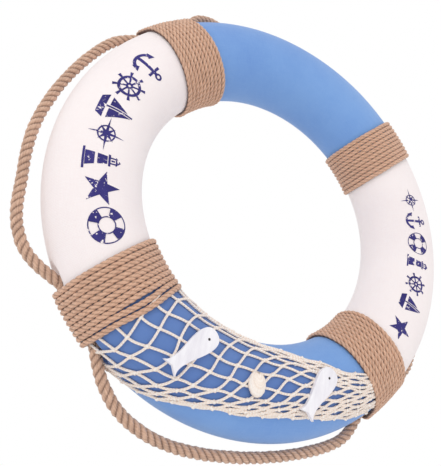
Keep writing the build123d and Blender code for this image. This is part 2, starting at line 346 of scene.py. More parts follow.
class Material:
    """A small builder of node materials."""

    def __init__(self, name, roughness, **settings):
        self.material = bpy.data.materials.new(name)
        self.material.use_nodes = True
        self.tree = self.material.node_tree
        self.shader = self.tree.nodes["Principled BSDF"]
        self.shader.inputs["Roughness"].default_value = roughness
        for socket, value in settings.items():
            self.shader.inputs[socket.replace("_", " ")].default_value = value
        self.place = self.node("ShaderNodeTexCoord").outputs["Object"]

    def node(self, kind, inputs=(), **settings):
        made = self.tree.nodes.new(kind)
        for key, value in settings.items():
            setattr(made, key, value)
        for key, value in dict(inputs).items():
            if isinstance(value, bpy.types.NodeSocket):
                self.tree.links.new(value, made.inputs[key])
            else:
                made.inputs[key].default_value = value
        return made

    def along(self, layer, stretch):
        """A UV layer's coordinates, stretched."""
        uv = self.node("ShaderNodeUVMap", uv_map=layer).outputs["UV"]
        return self.node("ShaderNodeMapping", {"Vector": uv, "Scale": stretch}).outputs["Vector"]

    def noise(self, scale, detail=4.0, roughness=0.6, place=None):
        inputs = {"Vector": place or self.place, "Scale": scale, "Detail": detail, "Roughness": roughness}
        return self.node("ShaderNodeTexNoise", inputs).outputs["Fac"]

    def ramp(self, fac, *stops):
        """A colour ramp from (position, colour) stops."""
        made = self.node("ShaderNodeValToRGB", {"Fac": fac})
        elements = made.color_ramp.elements
        while len(elements) < len(stops):
            elements.new(0.5)
        for element, (position, colour) in zip(elements, stops):
            element.position = position
            element.color = (*colour, 1)
        return made.outputs["Color"]

    def mix(self, fac, a, b):
        """A colour part of the way from a to b."""
        made = self.node("ShaderNodeMix", data_type="RGBA")
        for socket, value in ((made.inputs["Factor"], fac), (made.inputs["A"], a), (made.inputs["B"], b)):
            target = [s for s in made.inputs if s.name == socket.name and s.enabled][0]
            if isinstance(value, bpy.types.NodeSocket):
                self.tree.links.new(value, target)
            elif isinstance(value, (int, float)):
                target.default_value = value
            else:
                target.default_value = (*value, 1)
        return [s for s in made.outputs if s.enabled][0]

    def math(self, operation, a, b=0.0):
        made = self.node("ShaderNodeMath", operation=operation)
        for socket, value in zip(made.inputs, (a, b)):
            if isinstance(value, bpy.types.NodeSocket):
                self.tree.links.new(value, socket)
            else:
                socket.default_value = value
        return made.outputs["Value"]

    def finish(self, colour, height=None, depth=0.0):
        """Connects the colour, and a bump of a depth in metres."""
        self.tree.links.new(colour, self.shader.inputs["Base Color"])
        if height is not None:
            bump = self.node("ShaderNodeBump", {"Height": height, "Distance": depth, "Strength": 1.0})
            self.tree.links.new(bump.outputs["Normal"], self.shader.inputs["Normal"])
        return self.material


def rgb(red, green, blue):
    """A screen colour of 0 to 255 as linear light."""
    screen = np.array([red, green, blue]) / 255
    return tuple(np.where(screen <= 0.04045, screen / 12.92, ((screen + 0.055) / 1.055) ** 2.4).tolist())


def threads(m, layer, pitch):
    """Height of a plain weave with threads a pitch apart, in a UV layer of millimetres."""
    per_period = math.pi / 10  # a wave texture of scale 1 has 20 radians to the unit
    uv = m.node("ShaderNodeUVMap", uv_map=layer).outputs["UV"]
    waves = []
    for direction in ("X", "Y"):
        inputs = {"Vector": uv, "Scale": per_period / pitch, "Distortion": 0.6, "Detail": 1.0}
        wave = m.node("ShaderNodeTexWave", inputs, bands_direction=direction)
        waves.append(wave.outputs["Fac"])
    return m.math("MAXIMUM", *waves)


# Colour of the painted shade that the net casts on the blue cloth under it.
NET_SHADE = rgb(74, 100, 168)


def canvas(name, light, deep, dust):
    """Woven canvas, with slubs, faint blotches where it is rubbed, and painted shade between the threads and
    under the net.
    """
    m = Material(name, 0.9, Sheen_Weight=0.25, Sheen_Roughness=0.5)
    blotch = m.noise(14, 5, 0.55)
    colour = m.ramp(blotch, (0.30, deep), (0.62, light))
    slub = m.noise(1.0, 3, 0.7, m.along("cloth", (0.9, 0.12, 1)))
    slub_across = m.noise(1.0, 3, 0.7, m.along("cloth", (0.12, 0.9, 1)))
    lines = m.math("MULTIPLY", slub, slub_across)
    colour = m.mix(m.ramp(lines, (0.16, (0, 0, 0)), (0.42, (0.32, 0.32, 0.32))), colour, dust)
    # Painted shade: the cloth turns towards its deep colour in the low places between the threads.
    weave = threads(m, "cloth", 0.85)
    colour = m.mix(m.math("MULTIPLY", m.math("SUBTRACT", 1.0, weave), 0.22), colour, deep)
    # Painted shade under the net: the blue cloth turns towards NET_SHADE by how far inside the net's edges it
    # lies.
    shade = m.node("ShaderNodeAttribute", attribute_name="net_painted_shade").outputs["Fac"]
    colour = m.mix(m.math("MULTIPLY", shade, 0.62), colour, NET_SHADE)
    height = m.math("ADD", m.math("MULTIPLY", weave, 0.6), m.math("MULTIPLY", lines, 1.2))
    return m.finish(colour, height, 0.00012)


def jute(name, light, dark, groove):
    """Twisted jute: pale fibres that run along each ply, and painted shade in the grooves between plies."""
    m = Material(name, 0.95, Sheen_Weight=0.3, Sheen_Roughness=0.6)
    fibres = m.noise(1.0, 6, 0.75, m.along("along", (0.16, 9.0, 1)))
    tone = m.noise(55, 3, 0.6)
    colour = m.ramp(fibres, (0.28, dark), (0.66, light))
    colour = m.mix(m.math("MULTIPLY", tone, 0.5), colour, m.mix(0.5, dark, light))
    # Painted shade: where the shade attribute is low the colour goes to the groove colour, darkening grooves
    # and the sides turned to the canvas.
    shade = m.node("ShaderNodeAttribute", attribute_name="shade").outputs["Fac"]
    colour = m.mix(m.ramp(shade, (0.14, (1, 1, 1)), (0.92, (0, 0, 0))), colour, groove)
    return m.finish(colour, fibres, 0.0005)


def net_cord():
    """Pale cotton cord with a slanting twist."""
    m = Material("net_cotton", 0.85, Sheen_Weight=0.2)
    twist = m.along("along", (1.0, 2.2, 1))
    inputs = {"Vector": twist, "Scale": 0.3, "Distortion": 0.4}
    ply = m.node("ShaderNodeTexWave", inputs, bands_direction="DIAGONAL").outputs["Fac"]
    colour = m.ramp(ply, (0.1, rgb(246, 222, 206)), (0.5, rgb(255, 251, 246)))
    colour = m.mix(m.math("MULTIPLY", m.noise(90), 0.30), colour, rgb(252, 220, 196))
    return m.finish(colour, ply, 0.0002)


def painted_wood():
    m = Material("fish_white_paint", 0.55)
    stretched = m.node("ShaderNodeMapping", {"Vector": m.place, "Scale": (3, 3, 0.7)}).outputs["Vector"]
    grain = m.noise(60, 6, 0.7, stretched)
    colour = m.ramp(grain, (0.3, rgb(232, 228, 236)), (0.7, rgb(252, 250, 254)))
    return m.finish(colour, grain, 0.00015)


def eye_hole_shade_material():
    # Painted shade: a near black for the inside of a fish's drilled eye hole.
    m = Material("fish_eye_painted_shade", 0.35)
    return m.finish(m.ramp(m.noise(400), (0.3, rgb(24, 20, 24)), (0.7, rgb(48, 40, 44))))


def shell_lime():
    m = Material("cockle_lime", 0.42, Coat_Weight=0.15)
    bands = m.noise(1.0, 4, 0.6, m.along("growth", (0.6, 9.0, 1)))
    stops = ((0.3, rgb(240, 218, 200)), (0.52, rgb(252, 240, 230)), (0.75, rgb(255, 251, 246)))
    colour = m.ramp(bands, *stops)
    return m.finish(colour, bands, 0.00015)


def ink(cloth):
    """Navy print, rubbed through to the canvas in specks and along the weave."""
    m = Material("navy_print", 0.85)
    specks = m.noise(420, 3, 0.65)
    streaks = m.noise(150, 4, 0.7)
    worn = m.math("MULTIPLY", specks, m.math("ADD", streaks, 0.22))
    navy = m.ramp(m.noise(60), (0.3, rgb(38, 32, 104)), (0.7, rgb(58, 52, 128)))
    colour = m.mix(m.ramp(worn, (0.44, (0, 0, 0)), (0.49, (1, 1, 1))), navy, cloth)
    return m.finish(colour, specks, 0.00008)


def hot_glue():
    m = Material("clear_glue", 0.25, Coat_Weight=0.3)
    return m.finish(m.ramp(m.noise(200), (0.3, rgb(206, 200, 188)), (0.7, rgb(230, 226, 216))))


def foam():
    m = Material("white_foam", 0.9)
    beads = m.node("ShaderNodeTexVoronoi", {"Vector": m.place, "Scale": 320}).outputs["Distance"]
    return m.finish(m.ramp(beads, (0.0, rgb(244, 244, 242)), (0.8, rgb(214, 214, 212))), beads, 0.0003)


def floor_paint():
    m = Material("floor_paint", 0.9)
    return m.finish(m.ramp(m.noise(3), (0.3, rgb(244, 244, 244)), (0.7, rgb(252, 252, 252))))


WHITE_CLOTH = rgb(253, 243, 242)
white_canvas = canvas("white_canvas", WHITE_CLOTH, rgb(247, 236, 236), rgb(254, 251, 251))
blue_canvas = canvas("blue_canvas", rgb(122, 165, 224), rgb(106, 150, 216), rgb(140, 178, 228))
# The last colour of each jute is its painted shade for the grooves.
twine_jute = jute("twine_jute", rgb(250, 206, 175), rgb(172, 122, 96), rgb(86, 50, 35))
rope_jute = jute("rope_jute", rgb(246, 206, 179), rgb(168, 126, 101), rgb(96, 61, 47))
cotton = net_cord()

# ---- camera, first ------------------------------------------------------------------------------

CAMERA_PLACE = Vector((-0.16518, -0.31986, -0.19080)) + CENTRE
CAMERA_TARGET = Vector((-0.03577, 0.0, -0.03209)) + CENTRE
CAMERA_ROLL = 11.0
SENSOR = 36.0
FOCAL_PIXELS, PICTURE_HEIGHT = 498, 466


def make_camera():
    data = bpy.data.cameras.new("camera")
    data.sensor_width = SENSOR
    data.lens = SENSOR * FOCAL_PIXELS / PICTURE_HEIGHT
    data.clip_start, data.clip_end = 0.01, 20
    camera = bpy.data.objects.new("camera", data)
    bpy.context.scene.collection.objects.link(camera)
    level = (CAMERA_TARGET - CAMERA_PLACE).to_track_quat("-Z", "Y")
    camera.rotation_mode = "QUATERNION"
    camera.rotation_quaternion = level @ Quaternion((0, 0, 1), math.radians(CAMERA_ROLL))
    camera.location = CAMERA_PLACE
    bpy.context.scene.camera = camera


make_camera()

# ---- the grab line -----------------------------------------------------------------------------

ROPE_STRANDS = 3
STRAND_RADIUS = 2.0 * MM
STRAND_OFFSET = ROPE / 2 - STRAND_RADIUS
ROPE_LAY = 15.5 * MM  # length in which a strand goes once round
STRAND_YARNS = 6  # shallow lobes round a strand
STRAND_TWIST = -760  # radians in a metre by which they turn
FRONT = np.array([0.0, -1.0, 0.0])


def lay_rope(sweeps, line, start):
    """Three strands twisted about a line that starts this far along the rope."""
    _, side, up = frames_along(line, FRONT)
    s = lengths_along(line) + start
    for strand in range(ROPE_STRANDS):
        turn = 2 * np.pi * (s / ROPE_LAY + strand / ROPE_STRANDS)
        wobble = np.array([noise((x * 90, strand * 7.3, 0.5)) for x in s])
        radial = np.cos(turn)[:, None] * side + np.sin(turn)[:, None] * up
        centre = line + radial * (STRAND_OFFSET + 0.12 * MM * wobble)[:, None]
        radius = STRAND_RADIUS * (1 + 0.05 * wobble)
        yarns = {"twist": STRAND_TWIST, "lobes": STRAND_YARNS, "lobe_depth": 0.07}
        ring = sweeps.tube(centre, radius, 18, radial, start=start, **yarns)
        outside = ring - line[:, None]
        # Painted shade: darker towards the rope's core, in the valleys between strands.
        sweeps.shades(np.linalg.norm(outside, axis=-1) / (ROPE / 2) * 2.3 - 1.35)


def bound_line(angle):
    """The rope's line under the wrap at a ring angle."""
    turn = np.radians(np.linspace(angle - EXIT_ANGLE, angle + EXIT_ANGLE, 50))
    nothing = np.zeros_like(turn)
    return np.stack([ROPE_RADIUS * np.cos(turn), nothing, ROPE_RADIUS * np.sin(turn) + CENTRE_Z], axis=1)


def make_grab_line():
    """The loops and the bound stretches, one after another round the ring, so that the strands run on."""
    along = 0.0
    order = {"left": "lower_left", "bottom": "lower_right", "right": "upper_right", "top": "upper_left"}
    for loop, wrap in order.items():
        route = [Vector(p) + CENTRE for p in LOOP_ROUTES[loop]]
        line = spaced(smooth_line(route), 1.0 * MM)
        backwards = loop in ("right", "top")  # their routes are listed against the rope's run
        sweeps = Sweeps()
        lay_rope(sweeps, line[::-1] if backwards else line, along)
        piece = sweeps.piece(f"rope_loop_{loop}", rope_jute)
        along += lengths_along(line)[-1]
        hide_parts(f"grab_loop_{loop}")
        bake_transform(piece)

        sweeps = Sweeps()
        line = bound_line(WRAPS[wrap])
        lay_rope(sweeps, line, along)
        along += lengths_along(line)[-1]
        piece = sweeps.piece(f"rope_bound_{wrap}", rope_jute)
        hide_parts(f"bound_rope_{wrap}")
        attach(piece, "ring")


make_grab_line()

# ---- the wraps ---------------------------------------------------------------------------------

WRAP_SHIFTS = {135: 1.8 * MM}  # how far a wrap has slid along the ring
PLIES = 3
PLY_RADIUS = 1.22 * MM
PLY_OFFSET = 0.80 * MM
PLY_LAY = 13 * MM
PLY_LOBES = 3
PLY_TWIST = -900  # radians in a metre by which a ply's lobes turn


def section_hull(lift):
    """A closed line round tube and rope in the ring's section, as (across, deep), from the back onwards."""
    normal = np.linspace(0, 2 * np.pi, 721)[:-1] + np.pi / 2
    cos, sin = np.cos(normal), np.sin(normal)
    reach = np.hypot(HALF_WIDTH * cos, HALF_DEPTH * sin)
    on_oval = np.stack([HALF_WIDTH**2 * cos / reach, HALF_DEPTH**2 * sin / reach], axis=1)
    on_rope = np.stack([ROPE_OFFSET + ROPE / 2 * cos, ROPE / 2 * sin], axis=1)
    past_oval = ROPE_OFFSET * cos + ROPE / 2 > reach
    hull = np.where(past_oval[:, None], on_rope, on_oval) + lift * np.stack([cos, sin], axis=1)
    hull = np.concatenate([hull, hull[:1]])
    steps = np.concatenate([[0], np.cumsum(np.linalg.norm(np.diff(hull, axis=0), axis=1))])
    outward = np.concatenate([normal, [normal[0] + 2 * np.pi]])
    return hull, steps / steps[-1], steps[-1], outward


def wind(name):
    """The twine's centre line round one wrap, and the direction away from the tube at each point."""
    angle = WRAPS[name]
    hull, share, girth, outward = section_hull(LAY_GAP + TWINE / 2)
    count = round(WRAP_TURNS * girth / (1.0 * MM))
    turns = np.linspace(0, WRAP_TURNS, count)
    at = turns % 1.0
    across = np.interp(at, share, hull[:, 0])
    deep = np.interp(at, share, hull[:, 1])
    facing = np.interp(at, share, outward)
    along = (turns - WRAP_TURNS / 2) * WRAP_PITCH + WRAP_SHIFTS.get(angle, 0.0)
    lap = 2 * math.pi * turns
    ripple = np.array([noise((2.1 * math.cos(a), 2.1 * math.sin(a), 0.037 * a + angle)) for a in lap])
    along = along + 0.22 * MM * ripple
    if name == "lower_left":
        along = along + slack_last_turns(turns, at)
    across = across + np.cos(facing) * 0.12 * MM * ripple
    deep = deep + np.sin(facing) * 0.12 * MM * ripple
    ring = math.radians(angle)
    out = np.sqrt((RING_RADIUS + across) ** 2 - along**2)
    radial = np.array([math.cos(ring), 0, math.sin(ring)])
    forward = np.array([-math.sin(ring), 0, math.cos(ring)])
    back = np.array([0, 1.0, 0])
    line = out[:, None] * radial + along[:, None] * forward + deep[:, None] * back + np.array(CENTRE)
    away = np.cos(facing)[:, None] * radial + np.sin(facing)[:, None] * back
    return line, away


def slack_last_turns(turns, at):
    """The lower left wrap's last turns have slid apart on the face, and the very last lies slanted."""
    short_gap = np.exp(-(((at - 0.50) / 0.07) ** 2)) * np.clip((turns - 7.9) / 0.4, 0, 1)
    long_gap = np.exp(-(((at - 0.52) / 0.20) ** 4)) * np.clip((turns - 8.9) / 0.4, 0, 1)
    slant = np.clip((turns - 9.1) / 0.9, 0, 1) * np.sin(2 * np.pi * (at - 0.25))
    return (1.4 * short_gap + 1.0 * long_gap - 0.9 * slant) * MM


def make_wrap(name):
    line, away = wind(name)
    _, side, up = frames_along(line, away)
    s = lengths_along(line)
    sweeps = Sweeps()
    for ply in range(PLIES):
        turn = 2 * np.pi * (s / PLY_LAY + ply / PLIES)
        radial = np.cos(turn)[:, None] * side + np.sin(turn)[:, None] * up
        wobble = np.array([noise((x * 70, ply * 5.1, WRAPS[name])) for x in s])
        centre = line + radial * (PLY_OFFSET * (1 + 0.1 * wobble))[:, None]
        radius = PLY_RADIUS * (1 + 0.08 * wobble)
        ring = sweeps.tube(centre, radius, 9, radial, twist=PLY_TWIST, lobes=PLY_LOBES, lobe_depth=0.08)
        # Painted shade: darker on the side of each ply turned to the canvas and in the grooves between plies.
        height = ((ring - line[:, None]) * side[:, None]).sum(-1) / (TWINE / 2)
        reach = np.linalg.norm(ring - line[:, None], axis=-1) / (TWINE / 2)
        sweeps.shades(np.minimum((height + 0.20) * 1.5, reach * 2.6 - 1.55))
    piece = sweeps.piece(f"twine_wrap_{name}", twine_jute)
    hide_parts(f"wrap_{name}")
    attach(piece, "ring")


for name in WRAPS:
    make_wrap(name)

# ---- the canvas covers -------------------------------------------------------------------------

COVER_THICKNESS = 0.55 * MM
COVER_LENGTH = RING_RADIUS * math.radians(90)
COVER_GAP = 0.1 * MM  # from a cover's end to the joint with the next one
COVERS = {
    "white_left": (135, white_canvas, "canvas_white"),
    "blue_bottom": (225, blue_canvas, "canvas_blue"),
    "white_right": (315, white_canvas, "canvas_white"),
    "blue_top": (45, blue_canvas, "canvas_blue"),
}


def tube_girth():
    """Length of cloth once round the tube."""
    angle = np.linspace(0, 2 * np.pi, 721)
    line = np.stack([HALF_WIDTH * np.cos(angle), HALF_DEPTH * np.sin(angle)], axis=1)
    return np.linalg.norm(np.diff(line, axis=0), axis=1).sum()


# The net's two long edges, as (ring angle, tube angle).
NET_OUTER = [(-150, -50), (-126, -28), (-119, 2), (-114, 17), (-107, 38), (-99, 51)]
NET_OUTER += [(-90, 60), (-78, 62), (-67, 53), (-58, 42), (-45, 20)]
NET_INNER = [(-150, 182), (-126, 180), (-111, 166), (-100, 156), (-88, 148)]
NET_INNER += [(-75, 131), (-65, 113), (-56, 92), (-45, 70)]


def net_shade(ring, tube):
    """How far the cloth lies in the net's shade: 1 well inside the net's edges, 0 outside them."""
    ring = (ring + 180) % 360 - 180
    tube = (tube + 90) % 360 - 90
    inside = np.minimum(tube - through(NET_OUTER, ring), through(NET_INNER, ring) - tube)
    return np.clip(inside / 6 + 0.2, 0, 1)


def make_cover(name, start, material):
    """A quarter of the canvas, from a ring angle onwards, as one skin round the tube."""
    rows, columns = 190, 160
    seam = math.degrees(COVER_GAP / RING_RADIUS)
    ring = np.linspace(start + seam, start + 90 - seam, rows + 1)[:, None]
    tube = (np.arange(columns) * 360 / columns)[None, :]
    verts, _ = on_tube(ring, tube, pressed=True)
    here = np.arange(rows)[:, None] * columns + np.arange(columns)[None, :]
    there = np.arange(rows)[:, None] * columns + (np.arange(columns)[None, :] + 1) % columns
    quads = np.stack([here, here + columns, there + columns, there], axis=-1).reshape(-1, 4)
    piece = new_piece(f"canvas_{name}", verts.reshape(-1, 3), quads.tolist(), material)
    layer = piece.data.uv_layers.new(name="cloth")
    girth, length = tube_girth() / MM, COVER_LENGTH / MM
    corners = []
    for row in range(rows):
        for column in range(columns):
            for r, c in ((row, column), (row + 1, column), (row + 1, column + 1), (row, column + 1)):
                corners.append((r / rows * length, c / columns * girth))
    layer.data.foreach_set("uv", np.array(corners, np.float32).reshape(-1))
    # The blue cloth stores the painted shade of the net, which the canvas material reads.
    if name == "blue_bottom":
        shade = piece.data.attributes.new("net_painted_shade", "FLOAT", "POINT")
        shade.data.foreach_set("value", net_shade(ring, tube).astype(np.float32).reshape(-1))
    skin = piece.modifiers.new("thickness", "SOLIDIFY")
    skin.thickness = COVER_THICKNESS
    skin.offset = -1
    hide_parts(f"cover_{name}")
    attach(piece, "ring")


for name, (start, material, slot) in COVERS.items():
    make_cover(name, start, material)

# ---- the net -----------------------------------------------------------------------------------

NET_BAR = 11.7 * MM  # from knot to knot
NET_CORD = 1.8 * MM
NET_CELLS = 10  # across the net
NET_UNDER_WRAP = 3.5 * MM  # how far the net's ends run in under the wraps
NET_CROSSING = 0.35 * MM  # how much higher the cords across the net lie
NET_WANDER = (0.45, 1.6)  # degrees of ring and tube angle by which a knot is out of place
NET_BOW = 0.9  # degrees of tube angle by which a bar of the net bows
NET_SIDES, KNOT_SIDES = 7, 6
# How strongly the meshes are bunched along both edges, by ring angle.
NET_BUNCHING = [(-150, 0.0), (-120, 0.2), (-104, 0.7), (-88, 0.86), (-72, 0.55), (-58, 0.1), (-45, 0.0)]


def net_tube_angle(ring_angle, share):
    """Tube angle of a line that runs along the net, a share of the way from its outer to its inner edge."""
    outer, inner = through(NET_OUTER, ring_angle), through(NET_INNER, ring_angle)
    bunching = through(NET_BUNCHING, ring_angle)
    share = share - bunching * np.sin(2 * np.pi * share) / (2 * np.pi)
    return outer + share * (inner - outer)


def net_knots():
    """Knots of the netting, by (place along, line): each a bar's length from the ones beside it."""
    angles = np.arange(-148, -47, 0.04)
    knots = {}
    for row in range(NET_CELLS + 1):
        tube = net_tube_angle(angles, row / NET_CELLS)
        line, _ = on_tube(angles, tube)
        if row == 0:
            s = lengths_along(line)
            places = [int(np.searchsorted(s, k * NET_BAR)) for k in range(int(s[-1] / NET_BAR))]
            found = {k: p for k, p in enumerate(places)}
        else:
            found = {}
            for k in sorted(before):
                distance = np.linalg.norm(line - knots[k, row - 1][2], axis=1)
                nearest = int(np.argmin(distance))
                past = nearest + int(np.argmax(distance[nearest:] > NET_BAR))
                if past < len(line) - 1 and distance[nearest:].max() > NET_BAR:
                    found[k] = past
            first = min(found)
            s = lengths_along(line)
            while s[found[first]] > NET_BAR:
                found[first - 1] = int(np.searchsorted(s, s[found[first]] - NET_BAR))
                first -= 1
        for k, p in found.items():
            knots[k, row] = (angles[p], tube[p], line[p])
        before = found
    return knots


def catmull(points, steps):
    """A smooth line through points."""
    padded = np.concatenate([[2 * points[0] - points[1]], points, [2 * points[-1] - points[-2]]])
    line = []
    for a, b, c, d in zip(padded, padded[1:], padded[2:], padded[3:]):
        for t in np.arange(steps) / steps:
            square, cube = 2 * a - 5 * b + 4 * c - d, 3 * b - a - 3 * c + d
            line.append(0.5 * (2 * b + (c - a) * t + square * t**2 + cube * t**3))
    return np.array(line + [points[-1]])


def under_wraps(ring_angle, tube_angle):
    """True where a point of the net lies within the two wraps that hold it."""
    out = RING_RADIUS + HALF_WIDTH * math.cos(math.radians(tube_angle))
    for wrap, sign in ((-135, 1), (-45, -1)):
        along = out * math.sin(math.radians(sign * (ring_angle - wrap)))
        if along < WRAP_HALF_WIDTH - NET_UNDER_WRAP:
            return True
    return False


def make_net():
    """Cords along the net and across it, over the same knots."""
    random.seed(11)
    knots = net_knots()
    wander = {}
    on, round_tube = NET_WANDER
    for key in sorted(knots):
        ring_angle, tube_angle, _ = knots[key]
        ring_angle += random.uniform(-on, on)
        wander[key] = (ring_angle, tube_angle + random.uniform(-round_tube, round_tube))
    sweeps = Sweeps()
    seen = set()
    lines = []
    for row in range(NET_CELLS + 1):
        lines.append([(k, row) for k in sorted(k for k, r in wander if r == row)])
    for k in sorted(set(k for k, _ in wander)):
        lines.append([(k, row) for row in range(NET_CELLS + 1) if (k, row) in wander])
    for number, line in enumerate(lines):
        points = np.array([wander[key] for key in line])
        if len(points) < 3:
            continue
        steps = 8
        bow = random.choice((-1, 1))
        fine = catmull(points, steps)
        phase = np.arange(len(fine)) / steps
        swing = np.sin(np.pi * phase) * bow
        fine[:, 1] += NET_BOW * swing
        keep = np.array([not under_wraps(r, t) for r, t in fine])
        if keep.sum() < 4:
            continue
        ends = np.flatnonzero(keep)
        fine = fine[ends[0] : ends[-1] + 1]
        lift = NET_CORD / 2 + 2 * LAY_GAP + (NET_CROSSING if number > NET_CELLS else 0)
        place, normal = on_tube(fine[:, 0], fine[:, 1], lift)
        sweeps.tube(place, NET_CORD / 2, NET_SIDES, normal)
        sweeps.shades(np.ones(len(place) * NET_SIDES))
        seen.update(key for key in line if not under_wraps(*wander[key]))
    for key in sorted(seen):
        add_knot(sweeps, *wander[key])
    piece = sweeps.piece("knotted_net", cotton)
    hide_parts("net")
    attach(piece, "ring")


def add_knot(sweeps, ring_angle, tube_angle):
    """A small sheet-bend knot: one turn of cord about the crossing, and a bight over it."""
    place, normal = on_tube(ring_angle, tube_angle, NET_CORD * 0.75)
    ahead, _ = on_tube(ring_angle + 0.5, tube_angle, NET_CORD * 0.75)
    forward = unit(ahead - place)
    across = np.cross(normal, forward)
    tilt = random.uniform(0, math.pi)
    a = math.cos(tilt) * forward + math.sin(tilt) * across
    b = -math.sin(tilt) * forward + math.cos(tilt) * across
    turn = np.linspace(0, 2 * np.pi, 11)[:, None]
    loop = place + 0.85 * MM * (np.cos(turn) * a + 0.75 * np.sin(turn) * b)
    loop = loop + 0.35 * MM * np.sin(2 * turn) * normal
    sweeps.tube(loop, NET_CORD * 0.42, KNOT_SIDES, normal)
    sweeps.shades(np.ones(len(loop) * KNOT_SIDES))
    bight = np.linspace(-1, 1, 7)[:, None]
    over = place + 1.1 * MM * bight * b + 0.7 * MM * (1 - bight**2) * normal
    sweeps.tube(over, NET_CORD * 0.42, KNOT_SIDES, a)
    sweeps.shades(np.ones(len(over) * KNOT_SIDES))


make_net()

# ---- the fish and the shell --------------------------------------------------------------------

FISH_PLACES = {"left": (-51.3 * MM, -129.5 * MM, 47.0), "right": (45.1 * MM, -134.1 * MM, 61.5)}
EYE_PLACE = (12.3 * MM, -0.5 * MM)
EYE_RADIUS = 0.9 * MM
EYE_RISE = 0.45 * MM
EYE_SUNK = 0.15 * MM  # how far a bead's edge lies below the paint
FISH_FRONT = HALF_DEPTH + 4.4 * MM  # from the ring's middle plane to the fish's painted faces
SHELL_PLACE = (-3.4 * MM, -139.8 * MM, 8.0)
SHELL_SIZE = (13.0 * MM, 17.0 * MM, 6.0 * MM)
SHELL_BACK = HALF_DEPTH + 1.4 * MM
SHELL_RIBS = 21
SHELL_WALL = 0.7 * MM


def turned(place, along, up):
    """A point of a flat ornament, from its (x, z, turn) on the face, in the row frame's x and z."""
    x, z, turn = place
    cos, sin = math.cos(math.radians(turn)), math.sin(math.radians(turn))
    return x + along * cos - up * sin, z + along * sin + up * cos + CENTRE_Z


def make_eye(side, material):
    """A small dark dome in a fish's drilled eye: painted shade for the depth of the hole."""
    x, z = turned(FISH_PLACES[side], *EYE_PLACE)
    rings, sides = 6, 20
    verts, faces = [], []
    for ring in range(rings):
        reach = EYE_RADIUS * (1 - ring / rings)
        deep = EYE_SUNK - FISH_FRONT - EYE_RISE * (1 - (1 - ring / rings) ** 2)
        for k in range(sides):
            turn = 2 * math.pi * k / sides
            verts.append((x + reach * math.cos(turn), deep, z + reach * math.sin(turn)))
    for ring in range(rings - 1):
        for k in range(sides):
            a, b = ring * sides + k, ring * sides + (k + 1) % sides
            faces.append((a, b, b + sides, a + sides))
    faces.append([(rings - 1) * sides + k for k in range(sides)])
    faces.append(list(range(sides))[::-1])
    piece = new_piece(f"fish_eye_{side}", verts, faces, material)
    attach(piece, "ring")


def make_shell():
    """A ribbed cockle: rays from its beak to an oval rim, domed, with ribs along the rays."""
    half_width, half_height, rise = SHELL_SIZE[0] / 2, SHELL_SIZE[1] / 2, SHELL_SIZE[2]
    beak = 0.80 * half_height
    fan = np.linspace(-1, 1, 8 * SHELL_RIBS + 1)
    out = np.linspace(0.04, 1, 26)[:, None]
    ray = np.radians(122 * fan)
    a = (np.sin(ray) / half_width) ** 2 + (np.cos(ray) / half_height) ** 2
    b = -2 * beak * np.cos(ray) / half_height**2
    c = (beak / half_height) ** 2 - 1
    reach = (np.sqrt(b**2 - 4 * a * c) - b) / (2 * a)
    rib = np.cos(2 * np.pi * SHELL_RIBS * fan / 2)
    along = reach * out * np.sin(ray) * 0.985
    up = beak - reach * out * np.cos(ray) * 0.985
    dome = np.sqrt(np.clip(1 - (along / half_width) ** 2 - (up / half_height) ** 2, 0, 1)) * (rise - 0.4 * MM)
    growth = np.sin(9 * np.pi * out**1.4)
    dome = dome + 0.26 * MM * rib * out**0.8 + 0.08 * MM * growth + 0.12 * MM
    x, z = turned(SHELL_PLACE, along, up)
    verts = np.stack([x, -SHELL_BACK - np.clip(dome, 0.05 * MM, None), z], axis=-1).reshape(-1, 3)
    wide = len(fan)
    faces = []
    corners = []
    for row in range(len(out) - 1):
        for k in range(wide - 1):
            faces.append((row * wide + k, (row + 1) * wide + k, (row + 1) * wide + k + 1, row * wide + k + 1))
            corners += [(k, row), (k, row + 1), (k + 1, row + 1), (k + 1, row)]
    piece = new_piece("cockle_shell", verts, faces, shell_lime())
    uv = np.array(corners, np.float32) / (wide - 1, len(out) - 1)
    piece.data.uv_layers.new(name="growth").data.foreach_set("uv", uv.astype(np.float32).reshape(-1))
    wall = piece.modifiers.new("wall", "SOLIDIFY")
    wall.thickness = SHELL_WALL
    wall.offset = -1
    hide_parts("shell")
    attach(piece, "ring")


# ---- the printed marks: plain nautical motifs, upright in a box one high --------------------------


def bar(x0, y0, x1, y1, w0, w1=None):
    """A straight stroke from one point to another, w0 wide at its start and w1 at its end."""
    w1 = w0 if w1 is None else w1
    length = math.hypot(x1 - x0, y1 - y0)
    nx, ny = (y0 - y1) / length / 2, (x1 - x0) / length / 2
    start = [(x0 + nx * w0, y0 + ny * w0), (x0 - nx * w0, y0 - ny * w0)]
    return [*start, (x1 - nx * w1, y1 - ny * w1), (x1 + nx * w1, y1 + ny * w1)]


def arc(x, y, radius, start, end, width, steps=20):
    """A curved stroke, as short quads."""
    turns = [math.radians(start + (end - start) * k / steps) for k in range(steps + 1)]
    inner = [(x + (radius - width / 2) * math.cos(t), y + (radius - width / 2) * math.sin(t)) for t in turns]
    outer = [(x + (radius + width / 2) * math.cos(t), y + (radius + width / 2) * math.sin(t)) for t in turns]
    return [[inner[k], outer[k], outer[k + 1], inner[k + 1]] for k in range(steps)]


def rays(count, radii, turn=90.0):
    """A star, as triangles from its middle: radii are taken in turn for the corners round it."""
    corners = []
    for k in range(count + 1):
        angle = math.radians(turn + 360 * k / count)
        reach = radii[k % len(radii)]
        corners.append((reach * math.cos(angle), reach * math.sin(angle)))
    return [[(0, 0), here, there] for here, there in zip(corners, corners[1:])]


